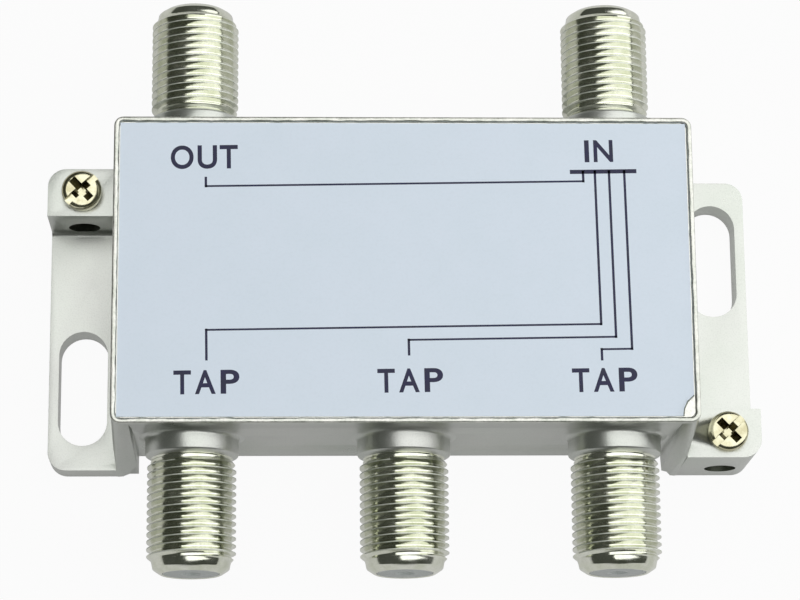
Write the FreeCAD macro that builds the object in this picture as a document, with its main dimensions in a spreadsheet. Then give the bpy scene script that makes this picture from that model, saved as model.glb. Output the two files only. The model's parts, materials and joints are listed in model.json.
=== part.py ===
import FreeCAD, Part
import math
import os
import Sketcher
from types import SimpleNamespace

# Three way cable television tap in a cast zinc box, lying on its back with the label up.
# X runs left to right, +Y points to the line side with the two line ports and +Z leaves
# the label. The origin is on the back face, in the middle of the box. All sizes in mm.

document = FreeCAD.newDocument("cable_tap")
Vector = FreeCAD.Vector

# Driving sizes: name, value and what it measures
DRIVING_SIZES = (
    ("box_width", "61.5", "box, left to right"),
    ("box_height", "33.2", "box, tap side to line side"),
    ("box_depth", "18.0", "box, back face to the top of its rim"),
    ("box_corner", "1.0", "radius of the box's upright corners"),
    ("side_wall", "1.6", "thickness of the four side walls"),
    ("back_wall", "1.5", "thickness of the back wall"),
    ("cavity_corner", "1.2", "radius of the cavity's upright corners"),
    ("lip_width", "0.5", "width of the rim left round the cover"),
    ("lip_corner", "0.7", "radius of the seat's corners inside the rim"),
    ("rim_proud", "0.3", "how far the rim stands above the cover"),
    ("cover_thickness", "0.7", "tinned cover plate"),
    ("cover_gap", "0.05", "clearance round the cover in its seat"),
    ("label_inset", "0.1", "from the cover's edge to the label's edge"),
    ("label_thickness", "0.12", "printed label"),
    ("tear_width", "1.1", "torn label corner, along X"),
    ("tear_height", "2.1", "torn label corner, along Y"),
    ("tear_bite", "0.25", "how far the torn edge bows into the label"),
    ("ear_width", "7.55", "mounting ears, out from the box's side"),
    ("ear_drop", "2.25", "lower end of both ears, past the tap side wall"),
    ("left_ear_step", "3.5", "left ear's upper end, short of the line side wall"),
    ("right_ear_step", "3.0", "right ear's upper end, short of the line side wall"),
    ("ear_thickness", "3.5", "mounting ears, through the slot"),
    ("ear_corner", "2.0", "radius of the ears' outer corners"),
    ("join_depth", "0.5", "how far ears and blends run into the wall, and cuts past a face"),
    ("block_height", "10.2", "earthing blocks, from the back face"),
    ("block_length", "5.3", "earthing blocks, along Y"),
    ("root_fillet", "0.55", "hollow fillets between ears, blocks and box"),
    ("foot_width", "2.15", "gusset under the left corner, along X"),
    ("foot_reach", "1.95", "gusset, out from the wall at the back face"),
    ("foot_rise", "13.0", "gusset, up the wall"),
    ("slot_width", "5.3", "mounting slots"),
    ("slot_length", "12.7", "mounting slots, end to end"),
    ("slot_rim", "1.05", "ear left outside a slot, along X"),
    ("left_slot_end", "2.7", "left slot, from the ear's lower end"),
    ("right_slot_end", "2.65", "right slot, from the ear's upper end"),
    ("wire_hole_radius", "1.7", "holes for the earthing wire"),
    ("left_wire_height", "5.5", "left wire hole, from the back face"),
    ("right_wire_height", "3.9", "right wire hole, from the back face"),
    ("screw_radius", "1.25", "earthing screws, over the thread"),
    ("screw_gap", "0.05", "radial clearance of a screw in its hole"),
    ("screw_rest", "0.6", "screws' ends, above the floor of the left wire hole"),
    ("screw_tip", "0.2", "chamfer at a screw's end"),
    ("head_radius", "2.15", "pan heads"),
    ("head_height", "1.5", "pan heads"),
    ("head_slope", "0.45", "sloping edge round the top of the pan heads"),
    ("driver_slot_width", "0.8", "slot across a head"),
    ("driver_slot_depth", "0.6", "slot across a head"),
    ("cross_width", "0.8", "cross recess, width of an arm"),
    ("cross_length", "2.9", "cross recess, end to end"),
    ("cross_depth", "1.0", "cross recess, in the middle"),
    ("driver_turn", "43", "slot's turn from X, in degrees"),
    ("port_margin", "8.25", "outer port axes, from the box's side"),
    ("port_height", "9.7", "port axes, from the back face"),
    ("port_reach", "14.6", "from the wall to a port's end face"),
    ("collar_radius", "4.95", "plain collar behind the thread"),
    ("collar_length", "1.9", "plain collar, out from the wall"),
    ("collar_flare", "0.6", "hollow flare where a collar meets the wall"),
    ("collar_slope", "0.6", "slope from the collar down to the relief"),
    ("relief_radius", "4.3", "thread relief"),
    ("relief_length", "0.6", "from the relief's floor out to the full thread"),
    ("thread_radius", "4.72", "crest of the 3/8-32 port thread"),
    ("nose_length", "1.8", "from the last crest to the end face"),
    ("nose_chamfer", "0.5", "chamfer after the last crest"),
    ("face_radius", "3.15", "flat end face of a port"),
    ("port_bore", "3.0", "radius of the bore that holds an insulator"),
    ("insulator_gap", "0.04", "radial clearance of an insulator in its bore"),
    ("insulator_recess", "0.05", "insulator's face behind the port's end"),
    ("flange_width", "8.0", "insulator's square flange inside the box"),
    ("flange_thickness", "0.8", "insulator flange inside the box"),
    ("entry_radius", "0.65", "hole for the cable's centre conductor"),
    ("entry_depth", "2.5", "length of that hole, countersink included"),
    ("entry_chamfer", "0.4", "countersink of that hole"),
    ("contact_room", "0.3", "clearance round a contact in its insulator"),
    ("contact_width", "1.6", "spring contacts, across"),
    ("contact_strip", "0.3", "spring contacts, thickness of the strip"),
    ("contact_height", "1.7", "spring contacts, outside of the fork"),
    ("contact_gap", "0.3", "fork's tips behind the entry hole"),
    ("contact_tail", "1.3", "tail behind the wall's inner face"),
    ("tail_below", "0.8", "tail below the board"),
    ("tail_gap", "0.3", "clearance round a tail in the board"),
    ("board_base", "4.0", "underside of the board, from the back face"),
    ("board_thickness", "1.2", "circuit board"),
    ("board_gap", "0.3", "clearance round the board in the cavity"),
    ("ledge_width", "2.6", "square cast posts under the board's corners"),
    ("ledge_inset", "1.0", "from the cavity's walls to a post"),
    ("core_width", "5.0", "two hole ferrite cores"),
    ("core_thickness", "2.8", "two hole ferrite cores, up from the board"),
    ("core_length", "2.8", "two hole ferrite cores, along their holes"),
    ("core_corner", "0.8", "sloping corners of the ferrite cores"),
    ("core_hole", "0.75", "radius of a core's holes"),
    ("core_hole_spacing", "2.4", "between a core's holes"),
    ("winding_wire", "0.28", "enamelled wire"),
    ("winding_pitch", "0.4", "between turns"),
    ("winding_overhang", "0.35", "turns beyond the core's ends"),
    ("winding_turns", "2", "turns through both holes"),
    ("coupler_row", "7.0", "coupler cores, towards the line side"),
    ("coupler_spacing", "9.0", "between the coupler cores"),
    ("splitter_row", "3.0", "splitter cores, towards the tap side"),
    ("splitter_spacing", "13.0", "between the splitter cores"),
    ("capacitor_radius", "2.1", "disc capacitors"),
    ("capacitor_thickness", "1.4", "disc capacitors"),
    ("lead_wire", "0.5", "capacitor leads, square"),
    ("lead_spacing", "2.5", "leads of a capacitor"),
    ("lead_length", "1.5", "capacitor above the board"),
    ("capacitor_row", "2.4", "capacitors, towards the line side"),
    ("capacitor_spacing", "13.0", "between capacitors"),
    ("resistor_length", "3.2", "chip resistors, along X"),
    ("resistor_width", "1.6", "chip resistors, along Y"),
    ("resistor_height", "0.6", "chip resistors, up from the board"),
    ("resistor_row", "8.6", "resistors, towards the tap side"),
    ("resistor_spacing", "13.0", "between resistors"),
)

sheet = document.addObject("Spreadsheet::Sheet", "Sizes")
for row, (alias, number, note) in enumerate(DRIVING_SIZES, start=1):
    sheet.set(f"A{row}", note)
    sheet.set(f"B{row}", number)
    sheet.setAlias(f"B{row}", alias)
document.recompute()


class Size:
    """A length that carries its number and the formula that works it out from the sheet."""

    def __init__(self, number, formula):
        self.number = number
        self.formula = formula

    def __add__(self, other):
        other = as_size(other)
        return Size(self.number + other.number, f"({self.formula} + {other.formula})")

    def __sub__(self, other):
        other = as_size(other)
        return Size(self.number - other.number, f"({self.formula} - {other.formula})")

    def __mul__(self, other):
        other = as_size(other)
        return Size(self.number * other.number, f"({self.formula} * {other.formula})")

    def __truediv__(self, other):
        other = as_size(other)
        return Size(self.number / other.number, f"({self.formula} / {other.formula})")

    def __neg__(self):
        return Size(-self.number, f"(0 - {self.formula})")


def as_size(value):
    return value if isinstance(value, Size) else Size(float(value), repr(value))


sizes = SimpleNamespace(
    **{alias: Size(float(sheet.get(alias)), f"Sizes.{alias}") for alias, _, _ in DRIVING_SIZES}
)

# Places that several pieces share
half_width = sizes.box_width / 2
half_height = sizes.box_height / 2
inner_width = half_width - sizes.side_wall
inner_height = half_height - sizes.side_wall
cover_top = sizes.box_depth - sizes.rim_proud
cover_base = cover_top - sizes.cover_thickness
ear_reach = half_width + sizes.ear_width
ear_low = half_height + sizes.ear_drop
left_ear_top = half_height - sizes.left_ear_step
right_ear_top = half_height - sizes.right_ear_step
ear_line = ear_reach - sizes.slot_rim - sizes.slot_width / 2
left_block_low = left_ear_top - sizes.block_length
right_block_high = sizes.block_length - ear_low
left_block_centre = left_ear_top - sizes.block_length / 2
right_block_centre = sizes.block_length / 2 - ear_low
port_pitch = half_width - sizes.port_margin
port_tip = half_height + sizes.port_reach
board_top = sizes.board_base + sizes.board_thickness
tail_place = inner_height - sizes.contact_tail

# The line side points along +Y and the tap side along -Y
LINE_SIDE = 1
TAP_SIDE = -1
PORTS = (
    ("out", -1, LINE_SIDE),
    ("in", 1, LINE_SIDE),
    ("tap_1", -1, TAP_SIDE),
    ("tap_2", 0, TAP_SIDE),
    ("tap_3", 1, TAP_SIDE),
)


def bind(item, name, size):
    """Ties a property of a feature to the sheet."""
    item.setExpression(name, as_size(size).formula)


def new_body(label):
    body = document.addObject("PartDesign::Body", label)
    body.Label = label
    return body


def origin_feature(body, role):
    return next(feature for feature in body.Origin.OriginFeatures if feature.Role == role)


def new_sketch(body, name, plane, across=0, up=0, out=0):
    """A sketch on one of the body's own planes, with its origin moved within and off the plane."""
    sketch = body.newObject("Sketcher::SketchObject", name)
    sketch.AttachmentSupport = (origin_feature(body, plane), "")
    sketch.MapMode = "FlatFace"
    for letter, offset in (("x", across), ("y", up), ("z", out)):
        bind(sketch, f"AttachmentOffset.Base.{letter}", offset)
    return sketch


def pin_point(sketch, edge, end, across, up):
    """Holds one point of a sketch at its place from the sketch's origin."""
    for kind, axis, size in (("DistanceX", -2, across), ("DistanceY", -1, up)):
        if size.number == 0:
            sketch.addConstraint(Sketcher.Constraint("PointOnObject", edge, end, axis))
            continue
        index = sketch.addConstraint(Sketcher.Constraint(kind, -1, 1, edge, end, size.number))
        sketch.setExpression(f"Constraints[{index}]", size.formula)


def arc_between(start, finish, radius):
    """The short arc from start to finish; a negative radius makes it turn clockwise."""
    chord = finish - start
    middle = (start + finish) * 0.5
    height = math.sqrt(max(radius * radius - chord.Length ** 2 / 4, 0.0))
    left = Vector(-chord.y, chord.x, 0).normalize()
    centre = middle + left * math.copysign(height, radius)
    first, last = (start, finish) if radius > 0 else (finish, start)
    circle = Part.Circle(centre, Vector(0, 0, 1), abs(radius))
    return Part.ArcOfCircle(circle, circle.parameter(first), circle.parameter(last))


def outline(sketch, corners):
    """Draws a closed outline. A corner is (across, up), or (across, up, radius) where an arc
    arrives there, counterclockwise for a positive radius and clockwise for a negative one."""
    corners = [tuple(as_size(value) for value in corner) for corner in corners]
    first_edge = sketch.GeometryCount
    ends = []
    for index, corner in enumerate(corners):
        before = corners[index - 1]
        start = Vector(before[0].number, before[1].number, 0)
        finish = Vector(corner[0].number, corner[1].number, 0)
        if len(corner) == 2:
            edge = sketch.addGeometry(Part.LineSegment(start, finish), False)
            ends.append((1, 2))
            pin_point(sketch, edge, 2, corner[0], corner[1])
            continue
        edge = sketch.addGeometry(arc_between(start, finish, corner[2].number), False)
        ends.append((1, 2) if corner[2].number > 0 else (2, 1))
        pin_point(sketch, edge, ends[-1][1], corner[0], corner[1])
        radius = corner[2] if corner[2].number > 0 else -corner[2]
        rule = sketch.addConstraint(Sketcher.Constraint("Radius", edge, radius.number))
        sketch.setExpression(f"Constraints[{rule}]", radius.formula)
    for index in range(len(corners)):
        following = (index + 1) % len(corners)
        sketch.addConstraint(
            Sketcher.Constraint(
                "Coincident",
                first_edge + index,
                ends[index][1],
                first_edge + following,
                ends[following][0],
            )
        )


def rectangle(sketch, left, right, low, high):
    outline(sketch, ((right, low), (right, high), (left, high), (left, low)))


def rounded_rectangle(sketch, half_across, half_up, radius):
    """A rectangle about the sketch's origin with rounded corners."""
    side = half_across - radius
    top = half_up - radius
    outline(
        sketch,
        (
            (side, -half_up),
            (half_across, -top, radius),
            (half_across, top),
            (side, half_up, radius),
            (-side, half_up),
            (-half_across, top, radius),
            (-half_across, -top),
            (-side, -half_up, radius),
        ),
    )


def circle(sketch, across, up, radius):
    across, up, radius = as_size(across), as_size(up), as_size(radius)
    place = Vector(across.number, up.number, 0)
    edge = sketch.addGeometry(Part.Circle(place, Vector(0, 0, 1), radius.number), False)
    pin_point(sketch, edge, 3, across, up)
    rule = sketch.addConstraint(Sketcher.Constraint("Radius", edge, radius.number))
    sketch.setExpression(f"Constraints[{rule}]", radius.formula)


def pad(body, sketch, length, both_ways=False):
    feature = body.newObject("PartDesign::Pad", f"{sketch.Name}_pad")
    feature.Profile = sketch
    bind(feature, "Length", length)
    feature.Midplane = both_ways
    return feature


def pocket(body, sketch, depth, forwards=False, both_ways=False):
    """Cuts against the sketch's normal, or along it when forwards."""
    feature = body.newObject("PartDesign::Pocket", f"{sketch.Name}_pocket")
    feature.Profile = sketch
    bind(feature, "Length", depth)
    feature.Reversed = forwards
    feature.Midplane = both_ways
    return feature


def turned(body, sketch, kind="PartDesign::Revolution"):
    """Turns a profile once round its sketch's own level axis."""
    feature = body.newObject(kind, f"{sketch.Name}_turned")
    feature.Profile = sketch
    feature.ReferenceAxis = (sketch, ["H_Axis"])
    feature.Angle = 360
    return feature


def row_along_x(body, feature, spacing, count):
    """Repeats a feature along X."""
    pattern = body.newObject("PartDesign::LinearPattern", f"{feature.Name}_row")
    pattern.Originals = [feature]
    pattern.Direction = (origin_feature(body, "X_Axis"), [""])
    pattern.Occurrences = count
    bind(pattern, "Length", spacing * (count - 1))
    body.Tip = pattern
    return pattern


# Cast housing

def make_housing():
    body = new_body("housing")
    add_box(body)
    add_ears(body)
    add_root_fillets(body)
    add_port_barrels(body)
    cut_inside(body)
    add_board_posts(body)
    cut_port_bores(body)
    cut_mounting_slots(body)
    cut_earthing_holes(body)
    return body


def add_box(body):
    sketch = new_sketch(body, "box", "XY_Plane")
    rounded_rectangle(sketch, half_width, half_height, sizes.box_corner)
    pad(body, sketch, sizes.box_depth)


def ear_outline(sketch, side, low, high, rounded_low, rounded_high):
    """An ear seen from above, from inside the wall to its outer edge on one side."""
    root = (half_width - sizes.join_depth) * side
    edge = ear_reach * side
    shoulder = (ear_reach - sizes.ear_corner) * side
    turn = sizes.ear_corner * side
    corners = [(root, low)]
    if rounded_low:
        corners += [(shoulder, low), (edge, low + sizes.ear_corner, turn)]
    else:
        corners += [(edge, low)]
    if rounded_high:
        corners += [(edge, high - sizes.ear_corner), (shoulder, high, turn)]
    else:
        corners += [(edge, high)]
    corners += [(root, high)]
    outline(sketch, corners)


def add_ears(body):
    """Two mounting ears, each with an earthing block: upper left and lower right."""
    low = -ear_low
    left_plate = new_sketch(body, "left_ear", "XY_Plane")
    ear_outline(left_plate, -1, low, left_ear_top, True, True)
    pad(body, left_plate, sizes.ear_thickness)
    right_plate = new_sketch(body, "right_ear", "XY_Plane")
    ear_outline(right_plate, 1, low, right_ear_top, True, True)
    pad(body, right_plate, sizes.ear_thickness)

    left_block = new_sketch(body, "left_block", "XY_Plane")
    ear_outline(left_block, -1, left_block_low, left_ear_top, False, True)
    pad(body, left_block, sizes.block_height)

    right_block = new_sketch(body, "right_block", "XY_Plane")
    ear_outline(right_block, 1, low, right_block_high, True, False)
    pad(body, right_block, sizes.block_height)

    # The right block runs under the box's corner and sweeps into the tap side wall
    blend = new_sketch(body, "block_blend", "XY_Plane")
    sweep = sizes.ear_drop
    blend_end = half_width + sizes.join_depth
    wall_inside = sizes.join_depth - half_height
    outline(
        blend,
        (
            (blend_end, low),
            (blend_end, wall_inside),
            (half_width - sweep, wall_inside),
            (half_width - sweep, -half_height),
            (half_width, low, -sweep),
        ),
    )
    pad(body, blend, sizes.block_height)

    # The left ear is carried under the corner by a gusset that runs out up the wall
    foot = new_sketch(body, "gusset", "YZ_Plane", out=-half_width)
    outline(
        foot,
        (
            (wall_inside, 0),
            (wall_inside, sizes.foot_rise),
            (-half_height, sizes.foot_rise),
            (-half_height - sizes.foot_reach, 0),
        ),
    )
    pad(body, foot, sizes.foot_width)


def hollow_corner(sketch, across, up, across_turn, up_turn):
    """The section of a hollow fillet in the corner at (across, up), open towards the turns."""
    inside_across = across - sizes.join_depth * across_turn
    inside_up = up - sizes.join_depth * up_turn
    end_across = across + sizes.root_fillet * across_turn
    end_up = up + sizes.root_fillet * up_turn
    outline(
        sketch,
        (
            (inside_across, inside_up),
            (end_across, inside_up),
            (end_across, up),
            (across, end_up, -sizes.root_fillet * (across_turn * up_turn)),
            (inside_across, end_up),
        ),
    )


def add_root_fillets(body):
    """Hollow fillets where an ear meets the wall, its block, and the block the wall."""
    for name, side, block_face, turn, far_end in (
        ("left", -1, left_block_low, -1, -half_height),
        ("right", 1, right_block_high, 1, right_ear_top),
    ):
        wall = half_width * side
        low, high = (far_end, block_face) if turn < 0 else (block_face, far_end)
        plate_root = new_sketch(body, f"{name}_plate_root", "XZ_Plane", out=-high)
        hollow_corner(plate_root, wall, sizes.ear_thickness, side, 1)
        pad(body, plate_root, high - low)

        start = half_width if side > 0 else -ear_reach
        block_root = new_sketch(body, f"{name}_block_root", "YZ_Plane", out=start)
        hollow_corner(block_root, block_face, sizes.ear_thickness, turn, 1)
        pad(body, block_root, sizes.ear_width)

        corner = new_sketch(body, f"{name}_corner_root", "XY_Plane", out=sizes.ear_thickness)
        hollow_corner(corner, wall, block_face, side, turn)
        pad(body, corner, sizes.block_height - sizes.ear_thickness)


def barrel_profile(sketch, side):
    """Half section of a port, along its axis and out from it, on one side of the box."""
    wall = half_height
    collar_end = wall + sizes.collar_length
    relief_start = collar_end + sizes.collar_slope
    thread_start = relief_start + sizes.relief_length
    thread_end = port_tip - sizes.nose_length
    chamfer_end = thread_end + sizes.nose_chamfer
    chamfer_radius = sizes.thread_radius - sizes.nose_chamfer
    flare_radius = sizes.collar_radius + sizes.collar_flare
    stations = (
        (inner_height, 0),
        (inner_height, flare_radius),
        (wall, flare_radius),
        (wall + sizes.collar_flare, sizes.collar_radius),
        (collar_end, sizes.collar_radius),
        (relief_start, sizes.relief_radius),
        (thread_start, sizes.thread_radius),
        (thread_end, sizes.thread_radius),
        (chamfer_end, chamfer_radius),
        (port_tip, sizes.face_radius),
        (port_tip, 0),
    )
    outline(sketch, [mirrored_along(station, side) for station in stations])


def mirrored_along(station, side):
    """Puts a station of a profile on its side of the box."""
    along, up = (as_size(value) for value in station)
    return (along * side, up)


def port_sketch(body, name, column):
    """A sketch through a port's axis, with the axis as its level axis."""
    return new_sketch(
        body, name, "YZ_Plane", up=sizes.port_height, out=port_pitch * column
    )


def add_port_barrels(body):
    taps = port_sketch(body, "tap_barrel", -1)
    barrel_profile(taps, TAP_SIDE)
    row_along_x(body, turned(body, taps), port_pitch, 3)
    lines = port_sketch(body, "line_barrel", -1)
    barrel_profile(lines, LINE_SIDE)
    row_along_x(body, turned(body, lines), port_pitch * 2, 2)


def cut_inside(body):
    cavity = new_sketch(body, "cavity", "XY_Plane", out=sizes.box_depth)
    rounded_rectangle(cavity, inner_width, inner_height, sizes.cavity_corner)
    pocket(body, cavity, sizes.box_depth - sizes.back_wall)
    seat = new_sketch(body, "cover_seat", "XY_Plane", out=sizes.box_depth)
    rounded_rectangle(
        seat, half_width - sizes.lip_width, half_height - sizes.lip_width, sizes.lip_corner
    )
    pocket(body, seat, sizes.rim_proud + sizes.cover_thickness)


def add_board_posts(body):
    posts = new_sketch(body, "board_posts", "XY_Plane")
    outer_across = inner_width - sizes.ledge_inset
    outer_up = inner_height - sizes.ledge_inset
    for side in (-1, 1):
        for end in (-1, 1):
            rectangle(
                posts,
                (outer_across - sizes.ledge_width) * side,
                outer_across * side,
                (outer_up - sizes.ledge_width) * end,
                outer_up * end,
            )
    pad(body, posts, sizes.board_base)


def cut_port_bores(body):
    for name, side, spacing, count in (
        ("tap_bore", TAP_SIDE, port_pitch, 3),
        ("line_bore", LINE_SIDE, port_pitch * 2, 2),
    ):
        bore = port_sketch(body, name, -1)
        inside = (inner_height - sizes.join_depth) * side
        outside = (port_tip + sizes.join_depth) * side
        rectangle(bore, inside, outside, 0, sizes.port_bore)
        row_along_x(body, turned(body, bore, "PartDesign::Groove"), spacing, count)


def cut_mounting_slots(body):
    radius = sizes.slot_width / 2
    straight = sizes.slot_length / 2 - radius
    slots = new_sketch(body, "mounting_slots", "XY_Plane")
    half_length = sizes.slot_length / 2
    for across, up in (
        (-ear_line, sizes.left_slot_end + half_length - ear_low),
        (ear_line, right_ear_top - sizes.right_slot_end - half_length),
    ):
        outline(
            slots,
            (
                (across + radius, up + straight),
                (across, up + straight + radius, radius),
                (across - radius, up + straight, radius),
                (across - radius, up - straight),
                (across, up - straight - radius, radius),
                (across + radius, up - straight, radius),
            ),
        )
    pocket(body, slots, sizes.ear_thickness, forwards=True)


def cut_earthing_holes(body):
    """A wire hole along Y and a screw hole from above in each block."""
    for name, column, centre, height in (
        ("left", -1, left_block_centre, sizes.left_wire_height),
        ("right", 1, right_block_centre, sizes.right_wire_height),
    ):
        wire = new_sketch(body, f"{name}_wire_hole", "XZ_Plane", out=-centre)
        circle(wire, ear_line * column, height, sizes.wire_hole_radius)
        pocket(body, wire, sizes.block_length, both_ways=True)
        screw = new_sketch(body, f"{name}_screw_hole", "XY_Plane", out=sizes.block_height)
        circle(screw, ear_line * column, centre, sizes.screw_radius + sizes.screw_gap)
        pocket(body, screw, sizes.block_height - height)


# Cover and label

def make_cover():
    body = new_body("cover_plate")
    sketch = new_sketch(body, "cover", "XY_Plane", out=cover_base)
    room = sizes.lip_width + sizes.cover_gap
    rounded_rectangle(
        sketch, half_width - room, half_height - room, sizes.lip_corner - sizes.cover_gap
    )
    pad(body, sketch, sizes.cover_thickness)
    return body


def make_label():
    """The printed label. Its lower right corner is torn away."""
    body = new_body("label")
    room = sizes.lip_width + sizes.cover_gap + sizes.label_inset
    right = half_width - room
    high = half_height - room
    radius = sizes.lip_corner - sizes.cover_gap - sizes.label_inset
    sketch = new_sketch(body, "label_face", "XY_Plane", out=cover_top)
    outline(
        sketch,
        (
            (right - sizes.tear_width, -high),
            (
                right - sizes.tear_width / 2 - sizes.tear_bite,
                -high + sizes.tear_height / 2 + sizes.tear_bite,
            ),
            (right, -high + sizes.tear_height),
            (right, high - radius),
            (right - radius, high, radius),
            (radius - right, high),
            (-right, high - radius, radius),
            (-right, radius - high),
            (radius - right, -high, radius),
        ),
    )
    pad(body, sketch, sizes.label_thickness)
    return body


# Earthing screws

def make_screw(name, column, centre):
    """A pan head screw with a slot and a cross recess, drawn on its own axis."""
    body = new_body(name)
    head_base = sizes.block_height
    head_top = head_base + sizes.head_height
    tip = sizes.left_wire_height - sizes.wire_hole_radius + sizes.screw_rest
    profile = new_sketch(body, f"{name}_profile", "XZ_Plane")
    outline(
        profile,
        (
            (0, tip),
            (sizes.screw_radius - sizes.screw_tip, tip),
            (sizes.screw_radius, tip + sizes.screw_tip),
            (sizes.screw_radius, head_base),
            (sizes.head_radius, head_base),
            (sizes.head_radius, head_top - sizes.head_slope),
            (sizes.head_radius - sizes.head_slope, head_top),
            (0, head_top),
        ),
    )
    turning = body.newObject("PartDesign::Revolution", f"{name}_turned")
    turning.Profile = profile
    turning.ReferenceAxis = (profile, ["V_Axis"])
    turning.Angle = 360
    for cut, half_length, half_breadth, depth in (
        ("slot", sizes.head_radius + sizes.join_depth, sizes.driver_slot_width / 2, sizes.driver_slot_depth),
        ("cross_long", sizes.cross_length / 2, sizes.cross_width / 2, sizes.cross_depth),
        ("cross_short", sizes.cross_width / 2, sizes.cross_length / 2, sizes.cross_depth),
    ):
        recess = new_sketch(body, f"{name}_{cut}", "XY_Plane", out=head_top)
        rectangle(recess, -half_length, half_length, -half_breadth, half_breadth)
        pocket(body, recess, depth)
    bind(body, "Placement.Base.x", ear_line * column)
    bind(body, "Placement.Base.y", centre)
    turn = FreeCAD.Rotation(Vector(0, 0, 1), sizes.driver_turn.number)
    body.Placement.Rotation = turn
    bind(body, "Placement.Rotation.Angle", sizes.driver_turn)
    return body


# Insulators and contacts

def make_insulator(name, column, side):
    """A white bush with a countersunk entry, a square flange and a square room behind."""
    body = new_body(f"insulator_{name}")
    sketch = port_sketch(body, f"insulator_{name}_profile", column)
    face = port_tip - sizes.insulator_recess
    entry_end = face - sizes.entry_depth
    outer = sizes.port_bore - sizes.insulator_gap
    stations = (
        (face, sizes.entry_radius + sizes.entry_chamfer),
        (face - sizes.entry_chamfer, sizes.entry_radius),
        (entry_end, sizes.entry_radius),
        (entry_end, 0),
        (inner_height, 0),
        (inner_height, outer),
        (face, outer),
    )
    outline(sketch, [mirrored_along(station, side) for station in stations])
    turned(body, sketch)
    inside = inner_height - sizes.flange_thickness
    flange = across_port(body, f"insulator_{name}_flange", column, side, inside)
    half_flange = sizes.flange_width / 2
    rectangle(flange, -half_flange, half_flange, -half_flange, half_flange)
    pad(body, flange, sizes.flange_thickness).Reversed = side == LINE_SIDE
    room = across_port(body, f"insulator_{name}_room", column, side, inside)
    half_across = sizes.contact_width / 2 + sizes.contact_room
    half_up = sizes.contact_height / 2 + sizes.contact_room
    rectangle(room, -half_across, half_across, -half_up, half_up)
    pocket(body, room, entry_end - inside, forwards=side == TAP_SIDE)
    return body


def across_port(body, name, column, side, along):
    """A sketch square to a port's axis, with its origin on the axis."""
    return new_sketch(
        body,
        name,
        "XZ_Plane",
        across=port_pitch * column,
        up=sizes.port_height,
        out=-along * side,
    )


def make_contact(name, column, side):
    """A fork of spring strip that grips the centre conductor, with a tail into the board."""
    body = new_body(f"contact_{name}")
    sketch = port_sketch(body, f"contact_{name}_profile", column)
    tip = port_tip - sizes.insulator_recess - sizes.entry_depth - sizes.contact_gap
    strip = sizes.contact_strip
    top = sizes.contact_height / 2
    tail_end = sizes.board_base - sizes.tail_below - sizes.port_height
    stations = (
        (tip, top),
        (tail_place, top),
        (tail_place, tail_end),
        (tail_place + strip, tail_end),
        (tail_place + strip, -top),
        (tip, -top),
        (tip, strip - top),
        (tail_place + strip, strip - top),
        (tail_place + strip, top - strip),
        (tip, top - strip),
    )
    outline(sketch, [mirrored_along(station, side) for station in stations])
    pad(body, sketch, sizes.contact_width, both_ways=True)
    return body


# Circuit board and what stands on it

def make_board():
    body = new_body("circuit_board")
    sketch = new_sketch(body, "board", "XY_Plane", out=sizes.board_base)
    across = inner_width - sizes.board_gap
    up = inner_height - sizes.board_gap
    rounded_rectangle(sketch, across, up, sizes.cavity_corner)
    half_slot = sizes.contact_width / 2 + sizes.tail_gap
    for _, column, side in PORTS:
        centre = port_pitch * column
        near = (tail_place - sizes.tail_gap) * side
        far = (tail_place + sizes.contact_strip + sizes.tail_gap) * side
        rectangle(sketch, centre - half_slot, centre + half_slot, near, far)
    pad(body, sketch, sizes.board_thickness)
    return body


def make_core(name, across, up):
    """A ferrite core with two holes along Y and its corners cut at a slope."""
    body = new_body(name)
    half_across = sizes.core_width / 2
    half_up = sizes.core_thickness / 2
    side_end = half_across - sizes.core_corner
    top_end = half_up - sizes.core_corner
    middle = board_top + half_up
    sketch = new_sketch(body, f"{name}_face", "XZ_Plane", across=across, up=middle, out=-up)
    outline(
        sketch,
        (
            (side_end, -half_up),
            (half_across, -top_end),
            (half_across, top_end),
            (side_end, half_up),
            (-side_end, half_up),
            (-half_across, top_end),
            (-half_across, -top_end),
            (-side_end, -half_up),
        ),
    )
    for side in (-1, 1):
        circle(sketch, sizes.core_hole_spacing / 2 * side, 0, sizes.core_hole)
    pad(body, sketch, sizes.core_length, both_ways=True)
    return body


def make_winding(name, across, up):
    """Turns of wire through both holes of a core, standing on the board by their leads."""
    body = new_body(name)
    wire = sizes.winding_wire
    turns = int(sizes.winding_turns.number)
    middle = board_top + sizes.core_thickness / 2
    lowest = middle - sizes.winding_pitch * (turns - 1) / 2 - wire / 2
    inner_across = sizes.core_hole_spacing / 2 - wire / 2
    inner_up = sizes.core_length / 2 + sizes.winding_overhang
    loop = new_sketch(body, f"{name}_turn", "XY_Plane", across=across, up=up, out=lowest)
    rectangle(loop, -inner_across - wire, inner_across + wire, -inner_up - wire, inner_up + wire)
    rectangle(loop, -inner_across, inner_across, -inner_up, inner_up)
    turn = pad(body, loop, wire)
    pattern = body.newObject("PartDesign::LinearPattern", f"{name}_turns")
    pattern.Originals = [turn]
    pattern.Direction = (origin_feature(body, "Z_Axis"), [""])
    pattern.Occurrences = turns
    bind(pattern, "Length", sizes.winding_pitch * (turns - 1))
    body.Tip = pattern
    leads = new_sketch(
        body, f"{name}_leads", "XY_Plane", across=across, up=up, out=board_top
    )
    for side in (-1, 1):
        near = (inner_up + wire / 2) * side
        far = (inner_up + wire * 1.5) * side
        rectangle(leads, -wire / 2, wire / 2, near, far)
    pad(body, leads, middle + sizes.winding_pitch * (turns - 1) / 2 - board_top)
    return body


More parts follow.
